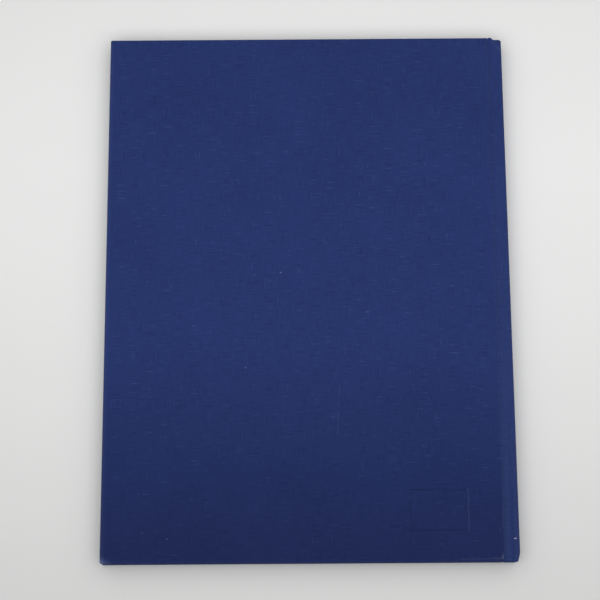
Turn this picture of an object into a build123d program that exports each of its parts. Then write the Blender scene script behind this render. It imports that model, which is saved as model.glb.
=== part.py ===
"""A case-bound school yearbook: sewn page block, greyboard covers and one wrap of woven book cloth.

The book lies on its front cover with the spine to +X and the head of the pages to +Y. Units are
millimetres. The origin is under the middle of the book, on the surface that it lies on.
"""

import os

from build123d import *

# Page block
page_width = 228.6
page_height = 304.8
section_count = 5
section_thickness = 1.0
endpaper_thickness = 0.15
lining_thickness = 0.5
band_tape_thickness = 0.3
band_tape_height = 9.0
band_bead_radius = 0.8

# Boards and cloth
square = 3.2
board_thickness = 2.5
spine_board_thickness = 2.0
cloth_thickness = 0.35
turn_in = 16.0
joint_gap = 6.0
board_edge_round = 0.6
board_corner_round = 0.65
bumped_corner_round = 2.2
mitre_gap = 0.2

# Joint and spine, as the cloth lies over them
groove_depth = 0.7
groove_slit = 0.3
spine_set_back = 0.3
spine_corner_round = 1.15
spine_head_drop = 1.2
joint_knee_round = 3.0
joint_top_round = 6.0
joint_knee_shares = (0.22, 0.75)

# Rectangle pressed into the back cover
frame_width = 33.5
frame_height = 23.5
frame_line_width = 0.9
frame_depth = 0.15
frame_from_spine = 44.5
frame_from_tail = 29.0

# Past every surface that a cut has to clear
overrun = 1.0

# The stack, from the surface up
block_thickness = section_count * section_thickness
cover_thickness = cloth_thickness + board_thickness + cloth_thickness + endpaper_thickness
front_inner = cover_thickness
block_bottom = front_inner + endpaper_thickness
block_top = block_bottom + block_thickness
back_inner = block_top + endpaper_thickness
book_thickness = back_inner + cover_thickness
middle = book_thickness / 2

# Across the book, from the fore edge to the spine
spine_depth = lining_thickness + cloth_thickness + spine_board_thickness + cloth_thickness
book_width = square + page_width + spine_depth
book_height = page_height + 2 * square
fore_edge = -book_width / 2
spine_face = book_width / 2
fold_line = spine_face - spine_depth
page_fore_edge = fold_line - page_width
strip_inner = fold_line + lining_thickness + cloth_thickness
strip_outer = strip_inner + spine_board_thickness
board_spine_edge = strip_inner - joint_gap
cover_spine_edge = board_spine_edge + cloth_thickness
wing_edge = cover_spine_edge + groove_slit

# Each cover is drawn on its outer face, with local +Z pointing out of the book
back_face = Plane.XY.offset(book_thickness)
front_face = Plane(origin=(0, 0, 0), x_dir=(1, 0, 0), z_dir=(0, 0, -1))
covers = (("back", back_face), ("front", front_face))

os.makedirs("parts", exist_ok=True)


def finish(builder, name):
    """Label a piece and write it to its own file."""
    builder.part.label = name
    export_step(builder.part, f"parts/{name}.step")


# Text block: the sewn sections as one solid, each fold rounded where it meets the lining
fold_round = section_thickness / 2
with BuildPart() as text_block:
    with BuildSketch(Plane.XZ.offset(-page_height / 2)):
        with Locations((page_fore_edge, block_bottom)):
            Rectangle(page_width - fold_round, block_thickness, align=(Align.MIN, Align.MIN))
        with Locations((fold_line - fold_round, block_bottom + fold_round)):
            with Locations(*[(0, section_thickness * i) for i in range(section_count)]):
                Circle(fold_round)
    extrude(amount=page_height)
finish(text_block, "text_block")

# Spine lining: paper glued over the folds, between the tapes of the two bands
lining_height = page_height - 2 * band_tape_height
with BuildPart() as spine_lining:
    with BuildSketch(Plane.XY.offset(block_bottom)):
        with Locations((fold_line, 0)):
            Rectangle(lining_thickness, lining_height, align=(Align.MIN, Align.CENTER))
    extrude(amount=block_thickness)
finish(spine_lining, "spine_lining")

# Head band and tail band: a bead on the edge of the pages, on a tape glued to the folds
for name, end in (("head_band", 1), ("tail_band", -1)):
    page_end = end * page_height / 2
    bead_middle = page_end + end * band_bead_radius
    tape_middle = page_end + end * (band_bead_radius - band_tape_height) / 2
    with BuildPart() as band:
        with BuildSketch(Plane.XY.offset(block_bottom)):
            with Locations((fold_line, tape_middle)):
                Rectangle(
                    band_tape_thickness,
                    band_tape_height + band_bead_radius,
                    align=(Align.MIN, Align.CENTER),
                )
            with Locations((fold_line + band_tape_thickness - band_bead_radius, bead_middle)):
                Circle(band_bead_radius)
        extrude(amount=block_thickness)
    finish(band, name)

# Flyleaves: the free half of each endpaper, folded back on itself at the spine as far as the board
for (name, face), inner in zip(covers, (back_inner, front_inner)):
    out = face.z_dir.Z
    with BuildPart() as flyleaf:
        with BuildSketch(Plane.XZ.offset(-page_height / 2)) as sheet:
            with Locations((page_fore_edge, inner - out * endpaper_thickness / 2)):
                Rectangle(page_width, endpaper_thickness, align=(Align.MIN, Align.CENTER))
            with Locations((fold_line, inner + out * endpaper_thickness / 2)):
                Rectangle(
                    fold_line - board_spine_edge,
                    endpaper_thickness,
                    align=(Align.MAX, Align.CENTER),
                )
            fillet(sheet.vertices().group_by(Axis.X)[-1].sort_by(Axis.Y)[0::2], endpaper_thickness / 2)
        extrude(amount=page_height)
    finish(flyleaf, f"{name}_flyleaf")

# Spine board: the strip that keeps the spine square, set back a little from the faces of the covers
strip_bottom = spine_set_back + cloth_thickness
strip_height = book_thickness - 2 * strip_bottom
strip_tail = -book_height / 2 + cloth_thickness
strip_head = book_height / 2 - spine_head_drop - cloth_thickness
with BuildPart() as spine_board:
    with BuildSketch(Plane.XZ.offset(-strip_head)):
        with Locations((strip_inner, strip_bottom)):
            Rectangle(spine_board_thickness, strip_height, align=(Align.MIN, Align.MIN))
    extrude(amount=strip_head - strip_tail)
    outer_edges = spine_board.edges().filter_by(Axis.Y).group_by(Axis.X)[-1]
    fillet(outer_edges, spine_corner_round)
finish(spine_board, "spine_board")

# Spine cloth: round the strip and out over both joints, turned in at the head and the tail
cloth_tail = -book_height / 2
cloth_head = book_height / 2 - spine_head_drop
joint_width = strip_inner - wing_edge
joint_rise = groove_depth - spine_set_back
plateau = book_thickness - spine_set_back
groove_floor = book_thickness - groove_depth
outer_points = (
    (wing_edge, groove_floor),
    (wing_edge + joint_knee_shares[0] * joint_width, groove_floor + joint_knee_shares[1] * joint_rise),
    (strip_inner - cloth_thickness, plateau),
    (spine_face, plateau),
    (spine_face, middle),
)
inner_points = [(x, z - cloth_thickness) for x, z in outer_points[:3]]
inner_points += [(strip_outer, plateau - cloth_thickness), (strip_outer, middle)]
with BuildPart() as spine_cloth:
    with BuildSketch(Plane.XZ.offset(-cloth_head)):
        with BuildLine():
            outer = FilletPolyline(
                *outer_points,
                radius=(joint_knee_round, joint_top_round, spine_corner_round + cloth_thickness),
            )
            inner = FilletPolyline(
                *inner_points,
                radius=(joint_knee_round, joint_top_round, spine_corner_round),
            )
            Line(outer @ 0, inner @ 0)
            Line(outer @ 1, inner @ 1)
        make_face()
        mirror(about=Plane.XZ.offset(-middle))
    extrude(amount=cloth_head - cloth_tail)
    for end, inward in ((cloth_head, -1), (cloth_tail, 1)):
        with BuildSketch(Plane.XY.offset(strip_bottom)):
            with Locations((strip_inner, end + inward * cloth_thickness / 2)):
                Rectangle(spine_board_thickness, cloth_thickness, align=(Align.MIN, Align.CENTER))
            with Locations((strip_inner, end + inward * turn_in / 2)):
                Rectangle(cloth_thickness, turn_in, align=(Align.MAX, Align.CENTER))
        extrude(amount=strip_height)
finish(spine_cloth, "spine_cloth")

# Covers: a board, the cloth drawn over it and turned in on three edges, and the pasted half of an endpaper
board_width = board_spine_edge - fore_edge - cloth_thickness
board_height = book_height - 2 * cloth_thickness
board_middle = board_spine_edge - board_width / 2
cover_width = cover_spine_edge - fore_edge
cover_middle = cover_spine_edge - cover_width / 2
wrapped_thickness = cloth_thickness + board_thickness + cloth_thickness
window_edge = fore_edge + turn_in
window_height = book_height - 2 * turn_in
frame_middle = (spine_face - frame_from_spine, -book_height / 2 + frame_from_tail)

for side, face in covers:
    outward = Axis(face.origin, face.z_dir)
    is_back = side == "back"
    tail_corner_round = bumped_corner_round if is_back else board_corner_round

    with BuildPart() as board:
        with BuildSketch(face.offset(-cloth_thickness)) as outline:
            with Locations((board_middle, 0)):
                Rectangle(board_width, board_height)
            tail_corner = outline.vertices().sort_by(Axis.X)[:2].sort_by(Axis.Y)[0]
            others = outline.vertices() - [tail_corner]
            fillet(tail_corner, tail_corner_round)
            fillet(others, board_corner_round)
        extrude(amount=-board_thickness)
        fillet(board.faces().sort_by(outward)[-1].edges(), board_edge_round)
        if is_back:
            with BuildSketch(face.offset(-cloth_thickness)):
                with Locations(frame_middle):
                    Rectangle(frame_width + cloth_thickness, frame_height + cloth_thickness)
                    Rectangle(
                        frame_width - 2 * frame_line_width - cloth_thickness,
                        frame_height - 2 * frame_line_width - cloth_thickness,
                        mode=Mode.SUBTRACT,
                    )
            extrude(amount=-frame_depth, mode=Mode.SUBTRACT)
    finish(board, f"{side}_board")

    with BuildPart() as cover_cloth:
        with BuildSketch(face) as outline:
            with Locations((cover_middle, 0)):
                Rectangle(cover_width, book_height)
            tail_corner = outline.vertices().sort_by(Axis.X)[:2].sort_by(Axis.Y)[0]
            others = outline.vertices() - [tail_corner]
            fillet(tail_corner, tail_corner_round + cloth_thickness)
            fillet(others, board_corner_round + cloth_thickness)
        extrude(amount=-wrapped_thickness)
        fillet(cover_cloth.faces().sort_by(outward)[-1].edges(), board_edge_round + cloth_thickness)
        fillet(cover_cloth.faces().sort_by(outward)[0].edges(), cloth_thickness)
        add(board.part, mode=Mode.SUBTRACT)
        # The opening between the turn-ins, which runs out at the spine side
        with BuildSketch(face.offset(-wrapped_thickness)):
            with Locations((window_edge, 0)):
                Rectangle(book_width, window_height, align=(Align.MIN, Align.CENTER))
        extrude(amount=cloth_thickness, mode=Mode.SUBTRACT)
        # Past the board the cloth goes on down only to the floor of the groove
        with BuildSketch(face.offset(-groove_depth - cloth_thickness)):
            with Locations((board_spine_edge - board_corner_round, 0)):
                Rectangle(book_width, book_height + overrun, align=(Align.MIN, Align.CENTER))
        extrude(amount=-wrapped_thickness, mode=Mode.SUBTRACT)
        # The seams where two turn-ins meet at a corner
        seam_inset = tail_corner_round + cloth_thickness
        for end in (1, -1):
            seam_start = (fore_edge + seam_inset, end * (book_height / 2 - seam_inset))
            seam_end = (window_edge + overrun, end * (window_height / 2 - overrun))
            with BuildSketch(face.offset(-wrapped_thickness)):
                with BuildLine() as seam:
                    Line(seam_start, seam_end)
                trace(seam.line, mitre_gap)
            extrude(amount=cloth_thickness, mode=Mode.SUBTRACT)
        if is_back:
            with BuildSketch(face):
                with Locations(frame_middle):
                    Rectangle(frame_width, frame_height)
                    Rectangle(
                        frame_width - 2 * frame_line_width,
                        frame_height - 2 * frame_line_width,
                        mode=Mode.SUBTRACT,
                    )
            extrude(amount=-frame_depth, mode=Mode.SUBTRACT)
    finish(cover_cloth, f"{side}_cover_cloth")

    with BuildPart() as pastedown:
        with BuildSketch(face.offset(-wrapped_thickness)):
            with Locations((board_spine_edge, 0)):
                Rectangle(
                    board_spine_edge - page_fore_edge,
                    page_height,
                    align=(Align.MAX, Align.CENTER),
                )
        extrude(amount=-endpaper_thickness)
        # Between the turn-ins the sheet sinks to the board at its own thickness
        with BuildSketch(face.offset(-cloth_thickness - board_thickness)):
            with Locations((board_spine_edge, 0)):
                Rectangle(
                    board_spine_edge - window_edge,
                    window_height,
                    align=(Align.MAX, Align.CENTER),
                )
        extrude(amount=-cloth_thickness)
        with BuildSketch(face.offset(-cloth_thickness - board_thickness - endpaper_thickness)):
            with Locations((window_edge + endpaper_thickness, 0)):
                Rectangle(
                    book_width,
                    window_height - 2 * endpaper_thickness,
                    align=(Align.MIN, Align.CENTER),
                )
        extrude(amount=-cloth_thickness - overrun, mode=Mode.SUBTRACT)
    finish(pastedown, f"{side}_pastedown")
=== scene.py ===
"""A case-bound school yearbook in blue cloth, lying on its front cover with its spine to +X."""

import math
import random

import bpy
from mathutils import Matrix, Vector


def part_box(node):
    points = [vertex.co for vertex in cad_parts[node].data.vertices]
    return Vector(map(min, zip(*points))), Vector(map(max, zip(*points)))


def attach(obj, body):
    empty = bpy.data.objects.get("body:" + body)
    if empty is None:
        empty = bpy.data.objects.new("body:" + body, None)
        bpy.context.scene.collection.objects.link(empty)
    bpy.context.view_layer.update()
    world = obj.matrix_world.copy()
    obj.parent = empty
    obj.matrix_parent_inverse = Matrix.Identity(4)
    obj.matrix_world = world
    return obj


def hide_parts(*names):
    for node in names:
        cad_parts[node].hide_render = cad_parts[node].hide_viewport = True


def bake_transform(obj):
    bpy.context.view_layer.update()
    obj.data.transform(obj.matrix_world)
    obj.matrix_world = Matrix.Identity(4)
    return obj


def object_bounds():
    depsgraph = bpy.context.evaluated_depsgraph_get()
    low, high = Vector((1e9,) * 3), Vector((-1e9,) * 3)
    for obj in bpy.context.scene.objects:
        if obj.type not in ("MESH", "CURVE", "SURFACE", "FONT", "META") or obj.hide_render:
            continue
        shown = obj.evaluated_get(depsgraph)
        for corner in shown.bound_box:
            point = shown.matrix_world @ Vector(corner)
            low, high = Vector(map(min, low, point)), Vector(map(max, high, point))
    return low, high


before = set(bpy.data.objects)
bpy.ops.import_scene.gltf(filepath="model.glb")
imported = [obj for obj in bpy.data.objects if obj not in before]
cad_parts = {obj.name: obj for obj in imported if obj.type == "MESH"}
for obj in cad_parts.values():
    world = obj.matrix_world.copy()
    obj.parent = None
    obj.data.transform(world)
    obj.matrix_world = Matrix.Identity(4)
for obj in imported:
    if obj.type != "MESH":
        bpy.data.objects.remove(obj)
cad_low, cad_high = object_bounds()

# Text block: five sections of thin coated paper, each four sheets folded once and nested.
# They are sewn through the folds at the spine and trimmed flush on the other three edges.
mm = 0.001
block_low, block_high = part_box("text_block")
section_count = 5
section_thickness = (block_high.z - block_low.z) / section_count
sheets_in_section = 4
leaf_share = 0.84
fold_steps = 8
trim_unevenness = 0.06 * mm
trim_seed = 11
page_white = (0.82, 0.80, 0.75, 1)
page_shade = (0.74, 0.715, 0.66, 1)
leaf_line_scale = (12, 12, 6500)
leaf_line_detail = 3
leaf_line_spread = (0.3, 0.6)
leaf_line_shades = (0.62, 1)
fibre_detail = 5
fibre_harshness = 0.7
fibre_spread = (0.15, 0.38)
paper_bump = 0.4
paper_gloss = 0.3


def fill(tree, node, values):
    """Sets a node's inputs, and joins those that are given another node's output."""
    for name, value in values.items():
        if isinstance(value, bpy.types.NodeSocket):
            tree.links.new(value, node.inputs[name])
        else:
            node.inputs[name].default_value = value


def add(tree, kind, values=None, **settings):
    """A new node in a tree, with its plain settings and its inputs."""
    node = tree.nodes.new(kind)
    for name, value in settings.items():
        setattr(node, name, value)
    fill(tree, node, values or {})
    return node


def arithmetic(tree, operation, *terms, **settings):
    """The outcome of one step of arithmetic."""
    values = dict(enumerate(terms))
    return add(tree, "ShaderNodeMath", values, operation=operation, **settings).outputs["Value"]


def ranged(tree, value, given, wanted=(0, 1), **settings):
    """A value carried from a given range to a wanted one."""
    values = {"Value": value, "From Min": given[0], "From Max": given[1]}
    values.update({"To Min": wanted[0], "To Max": wanted[1]})
    return add(tree, "ShaderNodeMapRange", values, **settings).outputs["Result"]


def mixed(tree, factor, first, second, blend="MIX"):
    """A second colour laid over a first one by a factor."""
    values = {"Factor": factor, "A": first, "B": second}
    return add(tree, "ShaderNodeMix", values, data_type="RGBA", blend_type=blend).outputs["Result"]


def clouds(tree, place, scale, detail=2, roughness=0.5, **settings):
    """A cloudy value that changes from place to place."""
    values = {"Vector": place, "Scale": scale, "Detail": detail, "Roughness": roughness}
    return add(tree, "ShaderNodeTexNoise", values, **settings).outputs["Fac"]


def new_group(name, kind, takes, gives):
    """A node group with named sockets: its tree, its inputs, the node of its outputs, its sockets."""
    tree = bpy.data.node_groups.new(name, kind)
    sockets = {}
    for direction, rows in (("INPUT", takes), ("OUTPUT", gives)):
        for socket_name, socket_kind in rows.items():
            sockets[socket_name] = tree.interface.new_socket(
                socket_name, in_out=direction, socket_type=f"NodeSocket{socket_kind}"
            )
    return tree, add(tree, "NodeGroupInput").outputs, add(tree, "NodeGroupOutput"), sockets


def new_material(name):
    """A node material: returns it, its tree and its Principled shader."""
    material = bpy.data.materials.new(name)
    material.use_nodes = True
    tree = material.node_tree
    return material, tree, tree.nodes["Principled BSDF"]


def new_piece(name, points, faces, material):
    """A mesh object from points and faces, with one material."""
    mesh = bpy.data.meshes.new(name)
    mesh.from_pydata(points, [], faces)
    mesh.materials.append(material)
    piece = bpy.data.objects.new(name, mesh)
    bpy.context.scene.collection.objects.link(piece)
    return piece


def settle(piece):
    """Makes a piece's modifiers part of its plain mesh."""
    depsgraph = bpy.context.evaluated_depsgraph_get()
    evaluated = piece.evaluated_get(depsgraph)
    mesh = bpy.data.meshes.new_from_object(
        evaluated, preserve_all_data_layers=True, depsgraph=depsgraph
    )
    piece.modifiers.clear()
    piece.data = mesh
    mesh.name = piece.name


def make_up(piece, tree, sockets, sizes):
    """Runs a Geometry Nodes tree on a piece with its named sizes, and keeps the plain mesh."""
    maker = piece.modifiers.new(tree.name, "NODES")
    maker.node_group = tree
    for name, size in sizes.items():
        maker[sockets[name].identifier] = size
    settle(piece)


def paper_fibre_group():
    """Cloudy fibre of paper and board: a colour that wavers between two tones, and a fine height."""
    takes = {
        "Place": "Vector",
        "Fibre Scale": "Float",
        "Cloud Scale": "Float",
        "Light Tone": "Color",
        "Dark Tone": "Color",
    }
    gives = {"Color": "Color", "Height": "Float"}
    tree, given, result, _ = new_group("paper_fibre", "ShaderNodeTree", takes, gives)
    fibre = clouds(tree, given["Place"], given["Fibre Scale"], fibre_detail, fibre_harshness)
    cloud = clouds(tree, given["Place"], given["Cloud Scale"])
    spread = ranged(tree, arithmetic(tree, "MULTIPLY", fibre, cloud), fibre_spread)
    tone = mixed(tree, spread, given["Dark Tone"], given["Light Tone"])
    fill(tree, result, {"Color": tone, "Height": fibre})
    return tree


paper_fibre = paper_fibre_group()


def paper_material(name, light_tone, dark_tone, fibre_scale, cloud_scale, roughness, relief):
    """Paper or board with its fibre; returns the material, its tree, its shader and its colour."""
    material, tree, shader = new_material(name)
    values = {
        "Place": add(tree, "ShaderNodeTexCoord").outputs["Object"],
        "Fibre Scale": fibre_scale,
        "Cloud Scale": cloud_scale,
        "Light Tone": light_tone,
        "Dark Tone": dark_tone,
    }
    fibre = add(tree, "ShaderNodeGroup", values, node_tree=paper_fibre).outputs
    values = {"Strength": paper_bump, "Distance": relief, "Height": fibre["Height"]}
    bump = add(tree, "ShaderNodeBump", values)
    values = {
        "Base Color": fibre["Color"],
        "Roughness": roughness,
        "Specular IOR Level": paper_gloss,
        "Normal": bump.outputs["Normal"],
    }
    fill(tree, shader, values)
    return material, tree, shader, fibre["Color"]


def page_material():
    """Coated paper whose trimmed edges show the lines between the leaves."""
    material, tree, shader, colour = paper_material(
        "page_paper",
        page_white,
        page_shade,
        fibre_scale=1600,
        cloud_scale=30,
        roughness=0.5,
        relief=0.02 * mm,
    )
    place = add(tree, "ShaderNodeTexCoord").outputs["Object"]
    stretch = add(tree, "ShaderNodeMapping", {"Vector": place, "Scale": leaf_line_scale})
    lines = clouds(tree, stretch.outputs["Vector"], 1, leaf_line_detail)
    depth = ranged(tree, lines, leaf_line_spread, leaf_line_shades)
    fill(tree, shader, {"Base Color": mixed(tree, 1, colour, depth, "MULTIPLY")})
    return material


def nested_sheets():
    """Points and faces of one section: sheets folded once, each inside the next, fold towards +X."""
    leaf_pitch = section_thickness / (2 * sheets_in_section)
    fold_middle = block_high.x - section_thickness / 2
    height = block_low.z + section_thickness / 2
    uneven = random.Random(trim_seed)
    points = []
    faces = []
    for sheet in range(sheets_in_section):
        outside = section_thickness / 2 - sheet * leaf_pitch
        inside = outside - leaf_share * leaf_pitch
        trims = [block_low.x + uneven.uniform(0, trim_unevenness) for _ in range(2)]
        head = block_high.y - uneven.uniform(0, trim_unevenness)
        tail = block_low.y + uneven.uniform(0, trim_unevenness)
        rows = [(trims[0], outside, trims[0], inside)]
        for step in range(fold_steps + 1):
            turn = math.pi * (0.5 - step / fold_steps)
            reach = fold_middle + outside * math.cos(turn)
            inner_reach = fold_middle + inside * math.cos(turn)
            rows.append((reach, outside * math.sin(turn), inner_reach, inside * math.sin(turn)))
        rows.append((trims[1], -outside, trims[1], -inside))
        first = len(points)
        for x, z, inner_x, inner_z in rows:
            points += [(x, tail, height + z), (x, head, height + z)]
            points += [(inner_x, tail, height + inner_z), (inner_x, head, height + inner_z)]
        for row in range(len(rows) - 1):
            a = first + 4 * row
            b = a + 4
            faces += [(a, b, b + 1, a + 1), (a + 2, a + 3, b + 3, b + 2)]
            faces += [(a, a + 2, b + 2, b), (a + 1, b + 1, b + 3, a + 3)]
        last = first + 4 * (len(rows) - 1)
        faces += [(first, first + 1, first + 3, first + 2), (last, last + 2, last + 3, last + 1)]
    return points, faces


def sewn_sections_tree(material):
    """Stacks copies of one section, each a hair out of line with the next."""
    takes = {
        "Section": "Geometry",
        "Count": "Int",
        "Thickness": "Float",
        "Unevenness": "Float",
        "Seed": "Int",
    }
    gives = {"Block": "Geometry"}
    tree, given, result, sockets = new_group("sewn_sections", "GeometryNodeTree", takes, gives)
    rise = add(tree, "ShaderNodeCombineXYZ", {"Z": given["Thickness"]})
    values = {"Count": given["Count"], "Offset": rise.outputs["Vector"]}
    stack = add(tree, "GeometryNodeMeshLine", values)
    inward = arithmetic(tree, "MULTIPLY", given["Unevenness"], -1)
    back = add(tree, "ShaderNodeCombineXYZ", {"X": inward})
    values = {"Min": back.outputs["Vector"], "Max": (0, 0, 0), "Seed": given["Seed"]}
    shift = add(tree, "FunctionNodeRandomValue", values, data_type="FLOAT_VECTOR")
    values = {"Geometry": stack.outputs["Mesh"], "Offset": shift.outputs["Value"]}
    moved = add(tree, "GeometryNodeSetPosition", values)
    values = {"Points": moved.outputs["Geometry"], "Instance": given["Section"]}
    placed = add(tree, "GeometryNodeInstanceOnPoints", values)
    real = add(tree, "GeometryNodeRealizeInstances", {"Geometry": placed.outputs["Instances"]})
    values = {"Geometry": real.outputs["Geometry"], "Material": material}
    finish = add(tree, "GeometryNodeSetMaterial", values)
    fill(tree, result, {"Block": finish.outputs["Geometry"]})
    return tree, sockets


page_paper = page_material()
pages = new_piece("pages", *nested_sheets(), page_paper)
stack_sizes = {
    "Count": section_count,
    "Thickness": section_thickness,
    "Unevenness": trim_unevenness,
    "Seed": trim_seed,
}
make_up(pages, *sewn_sections_tree(page_paper), stack_sizes)
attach(pages, "book_block")
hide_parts("text_block")

# Spine lining: a strip of brown lining paper glued over the sewn folds between the two bands.
# It stiffens the back of the block and is seen only down the hollow of the spine.
lining_brown = (0.40, 0.29, 0.18, 1)
lining_dark = (0.29, 0.20, 0.12, 1)


def dress(node_name, material):
    """Gives a carried-over solid its finish."""
    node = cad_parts[node_name]
    for slot in node.material_slots:
        slot.material = material


lining_paper = paper_material(
    "lining_paper",
    lining_brown,
    lining_dark,
    fibre_scale=900,
    cloud_scale=60,
    roughness=0.8,
    relief=0.05 * mm,
)[0]
dress("spine_lining", lining_paper)

# Head band and tail band: a cotton bead on a tape, glued over the folds at each end of the block.
# Blue and white threads are wound round the bead in stripes.
wraps_in_band = 12
wraps_in_stripe = 3
stripe_colours = 2
thread_proud = 0.05 * mm
ring_sides = 14
thread_sides = 6
band_white = (0.74, 0.72, 0.66, 1)
band_shade = (0.55, 0.53, 0.47, 1)
band_blue = (0.03, 0.055, 0.21, 1)
thread_roughness = 0.7
fuzz_scale = 9000
fuzz_detail = 3
fuzz_shades = (0.6, 1.2)


def band_thread_material():
    """Twisted thread, blue or white by its stripe."""
    material, tree, shader = new_material("band_thread")
    stripe = add(tree, "ShaderNodeAttribute", attribute_name="stripe").outputs["Fac"]
    place = add(tree, "ShaderNodeTexCoord").outputs["Object"]
    dye = mixed(tree, stripe, band_white, band_blue)
    fuzz = ranged(tree, clouds(tree, place, fuzz_scale, fuzz_detail), (0, 1), fuzz_shades)
    tone = mixed(tree, 1, dye, fuzz, "MULTIPLY")
    fill(tree, shader, {"Base Color": tone, "Roughness": thread_roughness})
    return material


def band_wraps_tree(material):
    """Rings of thread side by side up a bead, in stripes of two colours."""
    takes = {
        "Bead": "Geometry",
        "First Wrap": "Vector",
        "Count": "Int",
        "Pitch": "Float",
        "Wrap Radius": "Float",
        "Thread Radius": "Float",
        "Wraps In Stripe": "Int",
    }
    gives = {"Threads": "Geometry"}
    tree, given, result, sockets = new_group("band_wraps", "GeometryNodeTree", takes, gives)
    rise = add(tree, "ShaderNodeCombineXYZ", {"Z": given["Pitch"]}).outputs["Vector"]
    values = {"Count": given["Count"], "Start Location": given["First Wrap"], "Offset": rise}
    row = add(tree, "GeometryNodeMeshLine", values)
    values = {"Resolution": ring_sides, "Radius": given["Wrap Radius"]}
    ring = add(tree, "GeometryNodeCurvePrimitiveCircle", values)
    values = {"Resolution": thread_sides, "Radius": given["Thread Radius"]}
    section = add(tree, "GeometryNodeCurvePrimitiveCircle", values)
    values = {"Curve": ring.outputs["Curve"], "Profile Curve": section.outputs["Curve"]}
    tube = add(tree, "GeometryNodeCurveToMesh", values)
    values = {"Points": row.outputs["Mesh"], "Instance": tube.outputs["Mesh"]}
    placed = add(tree, "GeometryNodeInstanceOnPoints", values)
    index = add(tree, "GeometryNodeInputIndex").outputs["Index"]
    stripe = arithmetic(tree, "FLOOR", arithmetic(tree, "DIVIDE", index, given["Wraps In Stripe"]))
    colour = arithmetic(tree, "MODULO", stripe, stripe_colours)
    values = {"Geometry": placed.outputs["Instances"], "Name": "stripe", "Value": colour}
    mark = add(tree, "GeometryNodeStoreNamedAttribute", values, data_type="FLOAT", domain="INSTANCE")
    real = add(tree, "GeometryNodeRealizeInstances", {"Geometry": mark.outputs["Geometry"]})
    smooth = add(tree, "GeometryNodeSetShadeSmooth", {"Geometry": real.outputs["Geometry"]})
    values = {"Geometry": smooth.outputs["Geometry"], "Material": material}
    finish = add(tree, "GeometryNodeSetMaterial", values)
    fill(tree, result, {"Threads": finish.outputs["Geometry"]})
    return tree, sockets


band_cotton = paper_material(
    "band_cotton",
    band_white,
    band_shade,
    fibre_scale=2400,
    cloud_scale=200,
    roughness=0.85,
    relief=0.04 * mm,
)[0]
band_thread = band_thread_material()
wraps_tree, wraps_sockets = band_wraps_tree(band_thread)
for band, end in (("head_band", 1), ("tail_band", -1)):
    dress(band, band_cotton)
    band_low, band_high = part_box(band)
    page_end = block_high.y if end > 0 else block_low.y
    band_end = band_high.y if end > 0 else band_low.y
    bead_radius = abs(band_end - page_end) / 2
    wrap_pitch = (band_high.z - band_low.z) / wraps_in_band
    thread_radius = wrap_pitch / 2
    first_wrap = (
        band_low.x + bead_radius,
        (page_end + band_end) / 2 + end * thread_proud,
        band_low.z + thread_radius,
    )
    wrap_sizes = {
        "First Wrap": first_wrap,
        "Count": wraps_in_band,
        "Pitch": wrap_pitch,
        "Wrap Radius": bead_radius + thread_proud - thread_radius,
        "Thread Radius": thread_radius,
        "Wraps In Stripe": wraps_in_stripe,
    }
    wraps = new_piece(f"{band}_threads", [], [], band_thread)
    make_up(wraps, wraps_tree, wraps_sockets, wrap_sizes)
    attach(wraps, "book_block")

# Boards: two greyboard panels, which stiffen the covers.
# They are cut from pressed waste-paper board and wholly covered in use.
board_grey = (0.36, 0.345, 0.315, 1)
board_dark = (0.22, 0.21, 0.19, 1)

greyboard = paper_material(
    "greyboard",
    board_grey,
    board_dark,
    fibre_scale=700,
    cloud_scale=140,
    roughness=0.9,
    relief=0.08 * mm,
)[0]
for board in ("back_board", "front_board"):
    dress(board, greyboard)

# Case cloth: one piece of blue woven book cloth drawn over both boards and the spine strip.
# It is glued down, pressed into the joints, and turned in over every outer edge.
cover_low, cover_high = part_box("back_cover_cloth")
spine_low, spine_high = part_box("spine_cloth")
strip_low, strip_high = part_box("spine_board")
board_low, board_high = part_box("back_board")
book_middle = (cad_low.z + cad_high.z) / 2
cloth_thickness = cover_high.z - board_high.z
cloth_clearance = 0.01 * mm
turn_in = 16 * mm
edge_round = 0.95 * mm
corner_round = 1.0 * mm
bumped_round = 1.8 * mm
face_inset = 3 * mm
flat_margin = 0.15 * mm
groove_depth = 0.7 * mm
crease_round = 1.0 * mm
knee_across_share = 0.22
knee_rise_share = 0.75
knee_round = 3 * mm
top_round = 6 * mm
spine_round = 1.5 * mm
end_roll = 0.5 * mm
roll_steps = 6
round_steps = 6
corner_steps = 6
edge_turn_step = math.radians(15)
sharp_angle = math.radians(50)
grid_step = 5 * mm
end_zone = 14 * mm
end_step = 0.8 * mm
path_step = 0.6 * mm
merge_distance = 0.002 * mm

# The cover's sides are numbered from the spine round by the head, and a corner lies half way to the next
spine_side = 0
spine_corners = (0.5, 3.5)

# The blind-stamped rectangle in the lower right of the back cover, pressed unevenly, its lines darkened by
# their pressed tone together with painted shade, and its right line paled by rubbing together with a painted
# highlight
frame_middle = Vector((73.0 * mm, -126.6 * mm))
frame_size = Vector((33.5 * mm, 23.5 * mm))
frame_line = 0.9 * mm
frame_depth = 0.15 * mm
frame_shoulder = 0.4 * mm
frame_flat = 0.3 * mm
# Paling of the right line's inner shoulder: rubbing together with a painted highlight
frame_rub_and_highlight = 0.14
# Firmness of the head, tail and fore lines, which sets their depth and how much pressed tone and painted
# shade darkens them
head_press = 0.68
tail_press = 0.45
fore_press = 0.3

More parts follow.
